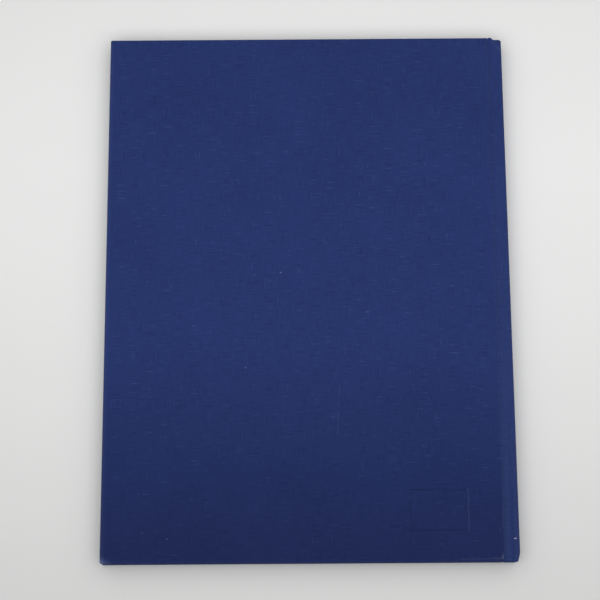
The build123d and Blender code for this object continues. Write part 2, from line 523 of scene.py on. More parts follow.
# Knocks to the spine: a fold and a sunk corner at the head, a dip along the joint and a tuck at the tail
fold_start = Vector((112.7 * mm, 152.7 * mm))
fold_across = Vector((0.803, 0.596))
fold_width = 0.9 * mm
fold_height = 0.12 * mm
sink_slope = 0.10
joint_head_rise = 1.15 * mm
joint_head_end = 111.4 * mm
joint_head_fall = 1.3 * mm
joint_head_length = 8 * mm
nub_place = 110.4 * mm
nub_reach = 0.8 * mm
nub_height = 0.35 * mm
dip_place = 112.4 * mm
dip_reach = 2.8 * mm
dip_depth = 0.5 * mm
dip_start = -85 * mm
dip_run = 60 * mm
tuck_depth = 1.2 * mm
tuck_length = 7 * mm

# Rubbing of the cloth: a little along every edge of the covers and down the joint, most at the knocked tail
# corner. Painted highlights go in with it along the fore edge, on the spine-side arris, on the joint's
# ridges and on the stamp's right line
edge_rub = 0.10
edge_rub_reach = 1.3 * mm
# Spine-side arris: rubbing together with a painted highlight, more towards the tail
arris_rub_and_highlight = (0.06, 0.15)
# Painted highlight along the rounding of the fore edge
fore_edge_highlight = 0.16
fore_edge_highlight_reach = 2.4 * mm
corner_rub = 1.3
corner_rub_reach = 5.0 * mm
roll_rub = 0.10
spine_rub = 0.06
spine_rub_reach = 2 * mm
fold_rub = 0.16
joint_fade = (0.02, 0.09)
# Paler ridges down the joint towards the tail: partly worn, partly painted highlight
ridge_place = 111.2 * mm
ridge_pitch = 4.7 * mm
ridge_wear_and_highlight = 0.045
ridge_start = -60 * mm
ridge_run = 80 * mm


def clamp(value, low, high):
    """The value, kept between two limits."""
    return min(max(value, low), high)


def ease(value):
    """A smooth rise from 0 to 1."""
    t = clamp(value, 0, 1)
    return t * t * (3 - 2 * t)


def bell(offset, width):
    """A smooth hump that falls away on both sides."""
    return math.exp(-((offset / width) ** 2))


def spaced(low, high, step):
    """Even values from low to high, at most a step apart."""
    count = math.ceil((high - low) / step)
    return [low + (high - low) * i / count for i in range(count + 1)]


def from_head_to_tail(y, ends):
    """A value that goes smoothly from one end of the cover to the other."""
    tailward = ease((cover_high.y - y) / (cover_high.y - cover_low.y))
    return ends[0] + (ends[1] - ends[0]) * tailward


def rounded_path(corners, radii, step):
    """Points along straight runs whose inner corners are rounded."""
    knots = [corners[0]]
    for before, corner, after, radius in zip(corners, corners[1:], corners[2:], radii):
        arrive = (corner - before).normalized()
        leave = (after - corner).normalized()
        half_turn = arrive.angle(leave) / 2
        centre = corner + (leave - arrive).normalized() * radius / math.cos(half_turn)
        reach = radius * math.tan(half_turn)
        first = (corner - arrive * reach - centre).normalized()
        last = (corner + leave * reach - centre).normalized()
        knots += [centre + first.slerp(last, i / round_steps) * radius for i in range(round_steps + 1)]
    knots.append(corners[-1])
    path = [knots[0]]
    for knot in knots[1:]:
        origin = path[-1]
        gap = (knot - origin).length
        if gap > merge_distance:
            count = math.ceil(gap / step)
            path += [origin.lerp(knot, i / count) for i in range(1, count + 1)]
    return path


def turned_over(points, faces):
    """The same sheet on the front side of the book."""
    return [(x, y, 2 * book_middle - z) for x, y, z in points], [corners[::-1] for corners in faces]


class ClothSheet:
    """A sheet of cloth: points in space, each with its place on the flat cloth, how far it is worn by
    rubbing together with any painted highlight, and its press, which also sets painted shade.
    """

    def __init__(self):
        self.points = []
        self.places = []
        self.rubs_and_highlights = []
        self.presses = []
        self.faces = []
        self.known = {}

    def point(self, position, place, rub_and_highlight, press=0.0):
        """The number of a point, new or already there."""
        key = tuple(round(c / merge_distance) for c in position)
        if key not in self.known:
            self.known[key] = len(self.points)
            self.points.append(tuple(position))
            self.places.append(place)
            self.rubs_and_highlights.append(rub_and_highlight)
            self.presses.append(press)
        return self.known[key]

    def strip(self, lower, upper):
        """Faces between two rows of points."""
        for a, b, c, d in zip(lower, lower[1:], upper[1:], upper):
            corners = list(dict.fromkeys((a, b, c, d)))
            if len(corners) > 2:
                self.faces.append(corners)

    def piece(self, name, material, on_front):
        """The finished sheet, with its thickness on the glued side."""
        points, faces = self.points, self.faces
        if on_front:
            points, faces = turned_over(points, faces)
        made = new_piece(name, points, faces, material)
        weave = made.data.uv_layers.new(name="cloth_uv")
        for loop in made.data.loops:
            weave.data[loop.index].uv = self.places[loop.vertex_index]
        for layer_name, values in (("rubbed_and_highlighted", self.rubs_and_highlights), ("pressed", self.presses)):
            layer = made.data.attributes.new(layer_name, "FLOAT", "POINT")
            layer.data.foreach_set("value", values)
        made.data.shade_smooth()
        body = made.modifiers.new("cloth", "SOLIDIFY")
        body.thickness = cloth_thickness - cloth_clearance
        body.offset = -1
        settle(made)
        made.data.set_sharp_from_angle(angle=sharp_angle)
        return made


def pressed(x, y):
    """How firmly the stamp has pressed the back cover at a place, which also sets its pressed tone and
    painted shade, and how far the cloth is paled there by rubbing together with a painted highlight.
    """
    across = abs(x - frame_middle.x) - frame_size.x / 2 + frame_line / 2
    along = abs(y - frame_middle.y) - frame_size.y / 2 + frame_line / 2
    off_line = abs(max(across, along))
    share = ease((frame_line / 2 + frame_shoulder / 2 - off_line) / frame_shoulder)
    at_right = ease((x - frame_middle.x - frame_size.x / 2 + 2 * frame_line) / frame_line)
    firmness = 1
    if along > across:
        firmness = head_press if y > frame_middle.y else tail_press
    elif x < frame_middle.x:
        firmness = fore_press
    return share * firmness, frame_rub_and_highlight * share * at_right


def beyond_fold(x, y):
    """How far a place lies past the line of the fold at the spine's head."""
    return (Vector((x, y)) - fold_start).dot(fold_across)


def knocked(point):
    """A point of the joint or the spine, moved by the knocks at its two ends."""
    x, y, z = point
    upper = ease((z - book_middle) / (spine_high.z - book_middle))
    beyond = beyond_fold(x, y)
    fold = fold_height * bell(beyond, fold_width) * ease(2 + beyond / fold_width)
    dip = max(0, 1 - ((x - dip_place) / dip_reach) ** 2) ** 2 * ease((dip_start - y) / dip_run)
    past_joint = ease((x - joint_head_end) / joint_head_fall)
    sink = sink_slope * max(0, beyond) - fold * past_joint
    rise = joint_head_rise * (1 - past_joint) + nub_height * bell(x - nub_place, nub_reach)
    tuck = ease((spine_low.y + tuck_length - y) / tuck_length) ** 2
    outer = clamp((x - strip_low.x) / (spine_high.x - strip_low.x), 0, 1)
    return Vector(
        (
            x - tuck_depth * tuck * outer,
            y + rise * upper * ease(1 + (y - spine_high.y) / joint_head_length),
            z - (sink + dip_depth * dip) * upper,
        )
    )


def fine_lines(middle, size):
    """Lines across a stamped line: its floor, its shoulders and the flat beside them."""
    shoulder = frame_line / 2 - frame_shoulder / 2
    offsets = (0, shoulder, frame_line / 2, frame_line / 2 + frame_shoulder / 2)
    offsets += (offsets[-1] + frame_flat, offsets[-1] + 2 * frame_flat)
    lines = []
    for end in (-1, 1):
        centre = middle + end * (size - frame_line) / 2
        lines += [centre + side * offset for offset in offsets for side in (-1, 1)]
    return sorted(set(lines))


def with_fine_lines(lines, fine):
    """Grid lines with finer ones put in, less those that would crowd them."""
    kept = [v for v in lines[1:-1] if all(abs(v - f) > frame_shoulder for f in fine)]
    return sorted([lines[0], lines[-1]] + kept + fine)


def grid_lines():
    """The grid on a cover's flat face, finer over the stamp and at the head and the tail."""
    low = Vector((cover_low.x + face_inset, cover_low.y + face_inset))
    high = Vector((cover_high.x - face_inset, cover_high.y - face_inset))
    columns = spaced(low.x, high.x, grid_step)
    rows = spaced(low.y, low.y + end_zone, end_step)[:-1]
    rows += spaced(low.y + end_zone, high.y - end_zone, grid_step)
    rows += spaced(high.y - end_zone, high.y, end_step)[1:]
    x_lines = with_fine_lines(columns, fine_lines(frame_middle.x, frame_size.x))
    y_lines = with_fine_lines(rows, fine_lines(frame_middle.y, frame_size.y))
    return x_lines, y_lines


def edge_profile():
    """The way of the cloth over a board's edge: how far in from the outline, how deep, how far along.

    Also counts its points down to the floor of the groove, and down to where it lies under the board.
    """
    groove_turn = math.acos(1 - groove_depth / edge_round)
    turns = spaced(0, groove_turn, edge_turn_step)
    profile = [(face_inset, 0.0), (edge_round + flat_margin, 0.0)]
    groove_count = len(profile) + len(turns)
    turns += spaced(groove_turn, math.pi / 2, edge_turn_step)[1:]
    profile += [(edge_round * (1 - math.sin(turn)), edge_round * (1 - math.cos(turn))) for turn in turns]
    wrapped = cover_high.z - cover_low.z
    profile.append((0.0, wrapped - cloth_thickness))
    for i in range(1, round_steps + 1):
        turn = math.pi / 2 * i / round_steps
        inset = cloth_thickness * (1 - math.cos(turn))
        profile.append((inset, wrapped - cloth_thickness * (1 - math.sin(turn))))
    under_count = len(profile)
    profile += [(inset, wrapped) for inset in spaced(face_inset, turn_in, grid_step)]
    travelled = [-face_inset]
    for (inset, depth), (next_inset, next_depth) in zip(profile, profile[1:]):
        travelled.append(travelled[-1] + math.hypot(next_inset - inset, next_depth - depth))
    return [(i, d, s) for (i, d), s in zip(profile, travelled)], groove_count, under_count


edge_way, groove_count, under_count = edge_profile()
under_inset = edge_way[under_count - 1][0]
groove_inset, _, groove_along = edge_way[groove_count - 1]


def outline_samples(x_lines, y_lines, fore_tail_round):
    """Places round the cover's outline from the tail of the spine side, with their normals and sides."""
    corners = (
        (cover_high.x, cover_high.y, corner_round),
        (cover_low.x, cover_high.y, corner_round),
        (cover_low.x, cover_low.y, fore_tail_round),
        (cover_high.x, cover_low.y, corner_round),
    )
    sides = (
        [Vector((cover_high.x, y)) for y in y_lines],
        [Vector((x, cover_high.y)) for x in reversed(x_lines)],
        [Vector((cover_low.x, y)) for y in reversed(y_lines)],
        [Vector((x, cover_low.y)) for x in x_lines],
    )
    samples = []
    for number, (side, (corner_x, corner_y, radius)) in enumerate(zip(sides, corners)):
        facing = math.pi / 2 * number
        normal = Vector((math.cos(facing), math.sin(facing)))
        samples += [(place, normal, number) for place in side]
        centre = Vector(
            (corner_x - math.copysign(radius, corner_x), corner_y - math.copysign(radius, corner_y))
        )
        for i in range(corner_steps + 1):
            swing = facing + math.pi / 2 * i / corner_steps
            normal = Vector((math.cos(swing), math.sin(swing)))
            samples.append((centre + normal * radius, normal, number + 0.5))
    return samples


def inset_place(place, normal, inset):
    """A place moved in from the outline, kept on the mitre near a corner."""
    moved = place - normal * inset
    return Vector(
        (
            clamp(moved.x, cover_low.x + inset, cover_high.x - inset),
            clamp(moved.y, cover_low.y + inset, cover_high.y - inset),
        )
    )


def turn_in_place(place, normal, inset, side):
    """A place on a turn-in under the board, mitred at the fore corners and cut square at the spine."""
    if side in spine_corners:
        start = inset_place(place, normal, under_inset)
        return Vector((start.x, start.y - math.copysign(inset - under_inset, start.y)))
    moved = place - normal * inset
    return Vector(
        (
            max(moved.x, cover_low.x + inset),
            clamp(moved.y, cover_low.y + inset, cover_high.y - inset),
        )
    )


def cover_rub_and_highlight(x, y, depth, worn):
    """How far the cover's cloth is worn by rubbing at a place and a depth below its face, with painted
    highlights along the fore edge and on the spine-side arris.
    """
    to_edge = min(x - cover_low.x, cover_high.x - x, cover_high.y - y, y - cover_low.y)
    over_edge = ease(1 - depth / (2 * edge_round))
    rub_and_highlight = edge_rub * ease(1 - to_edge / edge_rub_reach) * over_edge
    # Rubbing and a painted highlight on the spine-side arris
    rub_and_highlight += from_head_to_tail(y, arris_rub_and_highlight) * ease(1 - (cover_high.x - x) / edge_rub_reach)
    # Painted highlight along the fore edge's rounding
    rub_and_highlight += fore_edge_highlight * ease(1 - (x - cover_low.x) / fore_edge_highlight_reach) * over_edge
    if worn:
        to_corner = math.hypot(x - cover_low.x, y - cover_low.y)
        rub_and_highlight += corner_rub * ease(1 - to_corner / corner_rub_reach) * over_edge
    return min(rub_and_highlight, 1)


def joint_rub_and_highlight(x, y, worn):
    """How far the joint's and the spine's cloth is faded, with paler ridges towards a worn tail, partly worn
    and partly painted highlight.
    """
    fade = from_head_to_tail(y, joint_fade)
    if worn:
        ridges = math.cos(2 * math.pi * (x - ridge_place) / ridge_pitch)
        fade += ridge_wear_and_highlight * ridges * ease((ridge_start - y) / ridge_run)
        fade += fold_rub * bell(beyond_fold(x, y), fold_width)
    return fade


def lay_face(sheet, x_lines, y_lines, is_back):
    """Lays the cloth on a board's flat face, with the stamp on the back."""
    rows = []
    for y in y_lines:
        row = []
        for x in x_lines:
            press, stamp_rub_and_highlight = pressed(x, y) if is_back else (0, 0)
            position = (x, y, cover_high.z - frame_depth * press)
            rub_and_highlight = cover_rub_and_highlight(x, y, 0, is_back) + stamp_rub_and_highlight
            row.append(sheet.point(position, (x, y), rub_and_highlight, max(0, press - stamp_rub_and_highlight / frame_rub_and_highlight)))
        rows.append(row)
    for lower, upper in zip(rows, rows[1:]):
        sheet.strip(lower, upper)


def lay_edges(sheet, x_lines, y_lines, is_back):
    """Draws the cloth over a board's edges and turns it in, down to the groove at the joint."""
    rings = []
    fore_tail_round = bumped_round if is_back else corner_round
    for place, normal, side in outline_samples(x_lines, y_lines, fore_tail_round):
        ring = []
        for number, (inset, depth, along) in enumerate(edge_way):
            if number >= groove_count and side == spine_side:
                break
            if number < under_count:
                spot = inset_place(place, normal, inset)
            else:
                spot = turn_in_place(place, normal, inset, side)
            position = (spot.x, spot.y, cover_high.z - depth)
            rub_and_highlight = cover_rub_and_highlight(spot.x, spot.y, depth, is_back)
            ring.append(sheet.point(position, tuple(place + normal * along), rub_and_highlight))
        rings.append(ring)
    for ring, following in zip(rings, rings[1:] + rings[:1]):
        sheet.strip(ring, following)


def joint_path(is_back):
    """The cloth's way, in X and Z, from the groove over the joint and, with the back, round the spine."""
    set_back = cover_high.z - spine_high.z
    groove_floor = Vector((cover_high.x - groove_inset, cover_high.z - groove_depth))
    wing = Vector((spine_low.x, cover_high.z - groove_depth))
    joint_width = strip_low.x - wing.x
    knee_rise = knee_rise_share * (groove_depth - set_back)
    knee = wing + Vector((knee_across_share * joint_width, knee_rise))
    shoulder = Vector((strip_low.x - cloth_thickness, cover_high.z - set_back))
    corners = [groove_floor, wing, knee, shoulder]
    radii = [crease_round, knee_round, top_round]
    if is_back:
        under = 2 * book_middle - shoulder.y
        corners += [Vector((spine_high.x, shoulder.y)), Vector((spine_high.x, under))]
        corners.append(Vector((strip_low.x, under)))
        radii += [spine_round, spine_round]
    else:
        corners.append(Vector((strip_low.x, shoulder.y)))
    return rounded_path(corners, radii, path_step), shoulder


def rolled_rows(y_lines):
    """Rows from the turned-in tail to the turned-in head: the place, how far it has rolled, at which end."""
    tail_edge = spine_low.y + end_roll
    head_edge = spine_high.y - end_roll
    turns = [math.pi * i / roll_steps for i in range(1, roll_steps + 1)]
    rows = [(tail_edge + turn_in, math.pi, 0)]
    rows += [(tail_edge, turn, -1) for turn in reversed(turns)]
    rows += [(y, 0, 0) for y in [tail_edge] + y_lines + [head_edge]]
    rows += [(head_edge, turn, 1) for turn in turns]
    rows.append((head_edge - turn_in, math.pi, 0))
    return rows


def lay_joint(sheet, y_lines, is_back):
    """Lays the cloth over the joint and, with the back, round the spine, and rolls its ends in."""
    path, shoulder = joint_path(is_back)
    rows = rolled_rows(y_lines)
    spine_rise = spine_high.z - book_middle
    columns = []
    along = 0
    for number, spot in enumerate(path):
        along += (spot - path[max(number - 1, 0)]).length
        inward = math.copysign(2 * cloth_thickness, book_middle - spot.y)
        behind = Vector((spot.x - cloth_thickness, spot.y + inward))
        behind.x = max(behind.x, cover_high.x + 2 * cloth_clearance)
        inside = Vector((strip_low.x - cloth_thickness, clamp(spot.y, strip_low.z, strip_high.z)))
        behind = behind.lerp(inside, ease((spot.x - shoulder.x) / (2 * cloth_thickness)))
        to_arris = math.hypot(spot.x - spine_high.x, abs(spot.y - book_middle) - spine_rise)
        column = []
        for y, turn, end in rows:
            middle = (spot + behind) / 2
            reach = (spot - behind) / 2 * math.cos(turn)
            out = end_roll * math.sin(turn) * end
            point = Vector((middle.x + reach.x, y + out, middle.y + reach.y))
            beyond = end * turn * (reach.length + end_roll) / 2
            rub_and_highlight = roll_rub * math.sin(turn) + spine_rub * ease(1 - to_arris / spine_rub_reach)
            rub_and_highlight += joint_rub_and_highlight(spot.x, y, is_back)
            place = (cover_high.x + groove_along + along, y + beyond)
            column.append(sheet.point(knocked(point) if is_back else point, place, rub_and_highlight))
        columns.append(column)
    for column, following in zip(columns, columns[1:]):
        sheet.strip(following, column)


def drawn_cloth(is_back):
    """The cloth over one board, its turn-ins, its joint and, with the back, the spine."""
    sheet = ClothSheet()
    x_lines, y_lines = grid_lines()
    lay_face(sheet, x_lines, y_lines, is_back)
    lay_edges(sheet, x_lines, y_lines, is_back)
    lay_joint(sheet, y_lines, is_back)
    return sheet


# The weave, its slubs in a cloudy dye, and the few slubs that took less of it
thread_pitch = 0.46 * mm
thread_crown = 0.6
slub_length = 7 * mm
slub_scale = 0.8
slub_detail = 1
slub_spread = (0.23, 0.77)
slub_sparseness = 5
fleck_slubs = {"Weft Slubs": (0.77, 0.86), "Warp Slubs": (0.80, 0.89)}
fleck_fade = 0.32
weft_swing = 0.75
warp_swing = 0.5
dye_scale = 22
dye_detail = 4
dye_spread = (0.3, 0.7)
cloth_deep = (0.0102, 0.0227, 0.1081, 1)
cloth_light = (0.0187, 0.0388, 0.1648, 1)
cloth_pale = (0.092, 0.128, 0.265, 1)
cloth_roughness = 0.78
cloth_gloss = 0.15
cloth_sheen = 0.03
sheen_roughness = 0.5
weave_bump = 0.35
weave_relief = 0.06 * mm

# How patchily the cloth is worn by rubbing, with its painted highlights, and pressed, with painted shade in
# the stamp's lines; painted shade that darkens the back cloth towards the tail, and darker painted shade on
# its tail edge
rub_and_highlight_scale = 900
rub_and_highlight_detail = 4
rub_and_highlight_spread = (0.35, 0.65)
rub_and_highlight_strengths = (0.45, 1.15)
press_scale = 150
press_spread = (0.4, 0.65)
press_strengths = (0.5, 1)
# Pressed tone together with painted shade in the stamp's lines
pressed_tone_and_shade = (0.42, 0.46, 0.55, 1)
# Painted shade that darkens the back cloth towards the tail, less on the joint
tail_painted_shade = (0.58, 0.57, 0.63, 1)
tail_shade_run = (-20 * mm, -165 * mm)
tail_shade_edge = (109.5 * mm, 108.0 * mm)
tail_shade_shares = (0.38, 1)
# Painted shade that darkens the cover's tail edge
tail_edge_painted_shade = (0.4, 0.4, 0.46, 1)
tail_edge_shade_run = (-155.5 * mm, -156.5 * mm)
lint_white = (0.42, 0.44, 0.52, 1)

# Scuffs by their two ends on the flat cloth in mm, half width and strength
scuffs = (
    ((17.6, -56.0), (17.5, -61.7), 0.4, 0.04),
    ((16.7, -63.5), (16.6, -66.9), 0.4, 0.03),
    ((16.9, -70.4), (16.7, -76.7), 0.4, 0.045),
    ((16.5, -77.8), (16.4, -83.5), 0.4, 0.04),
    ((21.7, -30.4), (21.1, -37.4), 0.35, 0.03),
    ((-15.9, 11.0), (-15.6, 11.0), 0.7, 0.22),
    ((-36.2, -44.9), (-35.9, -44.9), 0.7, 0.12),
    ((34.2, -12.5), (34.5, -12.5), 0.7, 0.09),
    ((-94.0, -138.3), (-93.7, -138.3), 0.6, 0.09),
    ((-80.1, -141.9), (-79.8, -141.9), 0.6, 0.13),
    ((107.6, -150.8), (107.7, -152.0), 0.6, 0.05),
    ((107.6, -152.4), (107.5, -153.8), 0.9, 0.13),
    ((101.5, -153.7), (107.5, -153.9), 0.5, 0.07),
    ((84.0, -154.0), (100.5, -154.0), 0.5, 0.04),
    ((108.3, -124.5), (108.3, -137.0), 0.4, 0.03),
    ((106.8, -137.0), (106.8, -139.4), 0.4, 0.04),
    ((107.2, -139.8), (108.9, -140.9), 0.4, 0.03),
    ((114.9, -142.8), (115.7, -142.8), 0.45, 0.9),
)


def weave_group():
    """Plain weave on flat cloth: the threads' height, their slubs, and the few that took less dye."""
    takes = {"Place": "Vector", "Thread Pitch": "Float", "Slub Length": "Float"}
    gives = dict.fromkeys(("Height", "Weft Slubs", "Warp Slubs", "Flecks"), "Float")
    tree, given, result, _ = new_group("woven_threads", "ShaderNodeTree", takes, gives)
    split = add(tree, "ShaderNodeSeparateXYZ", {"Vector": given["Place"]}).outputs
    threads = {axis: arithmetic(tree, "DIVIDE", split[axis], given["Thread Pitch"]) for axis in "XY"}
    runs = {axis: arithmetic(tree, "DIVIDE", split[axis], given["Slub Length"]) for axis in "XY"}
    turns = [arithmetic(tree, "MULTIPLY", threads[axis], math.pi) for axis in "XY"]
    crossing = arithmetic(tree, "MULTIPLY", *[arithmetic(tree, "SINE", turn) for turn in turns])
    over = arithmetic(tree, "ABSOLUTE", crossing)
    values = {"Height": arithmetic(tree, "POWER", over, thread_crown)}
    flecks = []
    slubs = {"Weft Slubs": (runs["X"], threads["Y"]), "Warp Slubs": (threads["X"], runs["Y"])}
    for name, (x, y) in slubs.items():
        along = add(tree, "ShaderNodeCombineXYZ", {"X": x, "Y": y}).outputs["Vector"]
        streak = clouds(tree, along, slub_scale, slub_detail, noise_dimensions="2D")
        swing = ranged(tree, streak, slub_spread, (-1, 1))
        values[name] = arithmetic(tree, "POWER", swing, slub_sparseness)
        flecks.append(ranged(tree, streak, fleck_slubs[name]))
    values["Flecks"] = arithmetic(tree, "MAXIMUM", *flecks)
    fill(tree, result, values)
    return tree


def scuff_group():
    """A scuffed line on flat cloth: a mask from its start, its direction, its length and its width."""
    takes = dict.fromkeys(("Place", "Start", "Direction"), "Vector")
    takes.update(dict.fromkeys(("Length", "Width", "Strength"), "Float"))
    tree, given, result, _ = new_group("scuffed_line", "ShaderNodeTree", takes, {"Mask": "Float"})
    values = {0: given["Place"], 1: given["Start"]}
    from_start = add(tree, "ShaderNodeVectorMath", values, operation="SUBTRACT").outputs["Vector"]
    values = {0: from_start, 1: given["Direction"]}
    forward = add(tree, "ShaderNodeVectorMath", values, operation="DOT_PRODUCT").outputs["Value"]
    values = {"Value": forward, "Min": 0, "Max": given["Length"]}
    held = add(tree, "ShaderNodeClamp", values).outputs["Result"]
    values = {0: given["Direction"], "Scale": held}
    nearest = add(tree, "ShaderNodeVectorMath", values, operation="SCALE").outputs["Vector"]
    values = {0: from_start, 1: nearest}
    across = add(tree, "ShaderNodeVectorMath", values, operation="DISTANCE").outputs["Value"]
    reached = ranged(tree, across, (0, given["Width"]), (1, 0), interpolation_type="SMOOTHSTEP")
    fill(tree, result, {"Mask": arithmetic(tree, "MULTIPLY", reached, given["Strength"])})
    return tree


woven_threads = weave_group()
scuffed_line = scuff_group()


def strongest_scuff(tree, place, marks):
    """The strongest of several scuffs at each place."""
    strongest = 0
    for start, end, width, strength in marks:
        run = Vector(end) - Vector(start)
        values = {
            "Place": place,
            "Start": (start[0] * mm, start[1] * mm, 0),
            "Direction": (*run.normalized(), 0),
            "Length": run.length * mm,
            "Width": width * mm,
            "Strength": strength,
        }
        mark = add(tree, "ShaderNodeGroup", values, node_tree=scuffed_line).outputs["Mask"]
        strongest = arithmetic(tree, "MAXIMUM", strongest, mark)
    return strongest


def stamped_and_shaded_cloth(tree, place, dyed):
    """The back's cloth, darker where it is stamped by its pressed tone and painted shade, with painted shade
    that darkens it towards the tail and darker painted shade on its tail edge.
    """
    press = add(tree, "ShaderNodeAttribute", attribute_name="pressed").outputs["Fac"]
    uneven = clouds(tree, place, press_scale, noise_dimensions="2D")
    bite = arithmetic(tree, "MULTIPLY", press, ranged(tree, uneven, press_spread, press_strengths))
    # The stamp's lines darken by their pressed tone together with painted shade
    stamped = mixed(tree, bite, dyed, pressed_tone_and_shade, "MULTIPLY")
    # Painted shade: the back cloth darkens smoothly towards the tail, less on the joint
    split = add(tree, "ShaderNodeSeparateXYZ", {"Vector": place}).outputs
    tailward = ranged(tree, split["Y"], tail_shade_run, interpolation_type="SMOOTHSTEP")
    on_board = ranged(tree, split["X"], tail_shade_edge, tail_shade_shares)
    tail_shade = arithmetic(tree, "MULTIPLY", tailward, on_board)
    tail_shaded = mixed(tree, tail_shade, stamped, tail_painted_shade, "MULTIPLY")
    # Painted shade on the cover's tail edge
    return mixed(tree, ranged(tree, split["Y"], tail_edge_shade_run), tail_shaded, tail_edge_painted_shade, "MULTIPLY")


def book_cloth_material(name, marks):
    """Dyed woven cloth: slubbed threads, darker where pressed and where shade is painted, paler where worn
    by rubbing and where highlights are painted.
    """
    material, tree, shader = new_material(name)
    place = add(tree, "ShaderNodeUVMap", uv_map="cloth_uv").outputs["UV"]
    values = {"Place": place, "Thread Pitch": thread_pitch, "Slub Length": slub_length}
    weave = add(tree, "ShaderNodeGroup", values, node_tree=woven_threads).outputs
    cloud = clouds(tree, place, dye_scale, dye_detail, noise_dimensions="2D")
    dye = ranged(tree, cloud, (0, 1), dye_spread, clamp=False)
    weft = arithmetic(tree, "MULTIPLY_ADD", weave["Weft Slubs"], weft_swing, dye)
    warp = arithmetic(tree, "MULTIPLY_ADD", weave["Warp Slubs"], warp_swing, weft)
    flecks = arithmetic(tree, "MULTIPLY", weave["Flecks"], fleck_fade)
    colour = mixed(tree, flecks, mixed(tree, warp, cloth_deep, cloth_light), cloth_pale)
    if marks:
        colour = stamped_and_shaded_cloth(tree, place, colour)
    # Rubbing and painted highlights both pale the cloth
    rub_and_highlight = add(tree, "ShaderNodeAttribute", attribute_name="rubbed_and_highlighted").outputs["Fac"]
    patchy = clouds(tree, place, rub_and_highlight_scale, rub_and_highlight_detail, noise_dimensions="2D")
    strength = ranged(tree, patchy, rub_and_highlight_spread, rub_and_highlight_strengths)
    worn = arithmetic(tree, "MULTIPLY", rub_and_highlight, strength, use_clamp=True)
    colour = mixed(tree, worn, colour, cloth_pale)
    if marks:
        colour = mixed(tree, strongest_scuff(tree, place, marks), colour, lint_white)
    relief = arithmetic(tree, "ADD", weave["Height"], warp)
    values = {"Strength": weave_bump, "Distance": weave_relief, "Height": relief}
    bump = add(tree, "ShaderNodeBump", values)
    values = {
        "Base Color": colour,
        "Roughness": cloth_roughness,
        "Specular IOR Level": cloth_gloss,
        "Sheen Weight": cloth_sheen,
        "Sheen Roughness": sheen_roughness,
        "Normal": bump.outputs["Normal"],
    }
    fill(tree, shader, values)
    return material


for side, marks in (("back", scuffs), ("front", ())):
    is_back = side == "back"
    cloth = book_cloth_material(f"{side}_book_cloth", marks)
    case = drawn_cloth(is_back).piece(f"{side}_case_cloth", cloth, not is_back)
    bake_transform(case)
    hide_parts(f"{side}_cover_cloth", "spine_cloth")

# Spine strip: the greyboard strip inside the cloth of the spine, knocked in at its two ends with it.
# It is held only by the glued cloth, so the back of the block stands free behind it.
strip_round = 1.15 * mm
strip_step = 5 * mm


def spine_strip():
    """Points and faces of the strip, its outer long edges rounded."""
    corners = (
        Vector((strip_low.x, strip_low.z)),
        Vector((strip_high.x, strip_low.z)),
        Vector((strip_high.x, strip_high.z)),
        Vector((strip_low.x, strip_high.z)),
    )
    section = rounded_path(corners, (strip_round, strip_round), strip_step)
    tail = strip_low.y + end_roll
    head = strip_high.y - end_roll
    rows = spaced(tail, tail + end_zone, end_step)
    rows += spaced(tail + end_zone, head - end_zone, strip_step)[1:-1]
    rows += spaced(head - end_zone, head, end_step)
    count = len(section)
    points = [knocked((spot.x, y, spot.y)) for y in rows for spot in section]
    faces = [tuple(range(count))]
    for row in range(len(rows) - 1):
        for i in range(count):
            a = row * count + i
            b = row * count + (i + 1) % count
            faces.append((a, a + count, b + count, b))
    last = count * (len(rows) - 1)
    faces.append(tuple(reversed(range(last, last + count))))
    return points, faces


strip_piece = new_piece("spine_strip", *spine_strip(), greyboard)
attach(strip_piece, "book_block")
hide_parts("spine_board")

# Endpapers: a folded sheet of smooth white paper at each end of the block.
# One half is pasted to the board over the turn-ins, the other is the flyleaf, and the fold is the hinge.
fly_low, fly_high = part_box("back_flyleaf")
_, paste_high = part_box("back_pastedown")
paper_thickness = (fly_high.z - fly_low.z) / 2
window_half = cover_high.y - turn_in
hinge_rest = 1.5 * mm
hinge_columns = 28
leaf_columns = 16
leaf_rows = 22
leaf_wave = 0.04 * mm
ripple_across = 7
ripple_along = 5
endpaper_white = (0.80, 0.785, 0.745, 1)
endpaper_shade = (0.765, 0.748, 0.705, 1)

endpaper = paper_material(
    "endpaper",
    endpaper_white,
    endpaper_shade,
    fibre_scale=1200,
    cloud_scale=25,
    roughness=0.6,
    relief=0.03 * mm,
)[0]


def thin_sheet(lower, thickness):
    """Points and faces of a sheet from a grid of points on its lower side."""
    rows = len(lower)
    columns = len(lower[0])
    points = [tuple(p) for row in lower for p in row]
    count = len(points)
    points += [(x, y, z + thickness) for x, y, z in points]
    faces = []
    for r in range(rows - 1):
        for c in range(columns - 1):
            a = r * columns + c
            b = a + columns
            faces.append((a, b, b + 1, a + 1))
            faces.append((a + count, a + 1 + count, b + 1 + count, b + count))
    border = list(range(columns))
    border += [r * columns + columns - 1 for r in range(1, rows)]
    border += [(rows - 1) * columns + c for c in range(columns - 2, -1, -1)]
    border += [r * columns for r in range(rows - 2, 0, -1)]
    for a, b in zip(border, border[1:] + border[:1]):
        faces.append((a, b, b + count, a + count))
    return points, faces


def flyleaf():
    """A leaf that lies on the block with a faint wave in it."""
    grid = []
    for r in range(leaf_rows + 1):
        y = fly_low.y + (fly_high.y - fly_low.y) * r / leaf_rows
        row = []
        for c in range(leaf_columns + 1):
            x = fly_low.x + (fly_high.x - fly_low.x) * c / leaf_columns
            ripple = math.sin(ripple_across * c / leaf_columns + ripple_along * r / leaf_rows)
            wave = math.sin(math.pi * c / leaf_columns) * (1 + ripple) / 2
            row.append((x, y, fly_low.z + leaf_wave * wave))
        grid.append(row)
    return thin_sheet(grid, paper_thickness)


